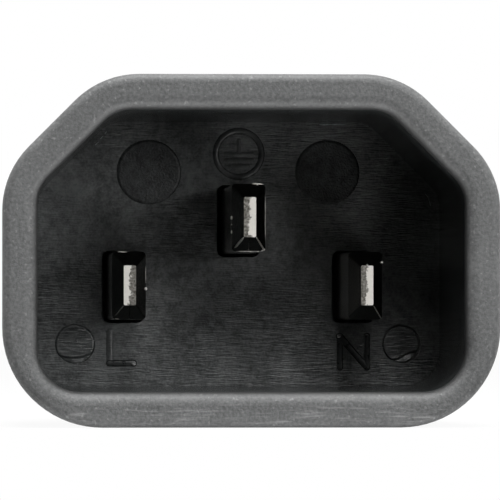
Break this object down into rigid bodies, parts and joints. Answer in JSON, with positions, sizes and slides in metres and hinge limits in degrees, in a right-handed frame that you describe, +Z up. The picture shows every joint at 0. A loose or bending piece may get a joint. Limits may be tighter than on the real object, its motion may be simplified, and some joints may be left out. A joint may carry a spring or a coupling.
{
  "type": "power cord plug",
  "caption": "Cord-end plug of an appliance power coupler: soft grey shroud with cut upper corners, a rigid black cavity liner and flat live, neutral and earth blades, and a round cord entry.",
  "frame": {"origin": "on the plug's axis in the plane of the shroud's rim, midway between the live and neutral blades and midway between their height and the earth blade's", "axes": "-Y is the way the plug's open face looks, +Y runs back to the cord entry, +Z is up towards the cut corners, +X is to the right as the open face is seen, on the neutral blade's side"},
  "size_m": [0.0292, 0.044, 0.0206],
  "materials": {
    "soft_overmould": "matte",
    "black_insert": "satin",
    "plated_pin": "polished"
  },
  "bodies": {
    "root": {"overmould": "soft_overmould", "pin_insert": "black_insert", "live_pin": "plated_pin", "neutral_pin": "plated_pin", "earth_pin": "plated_pin"}
  },
  "joints": []
}
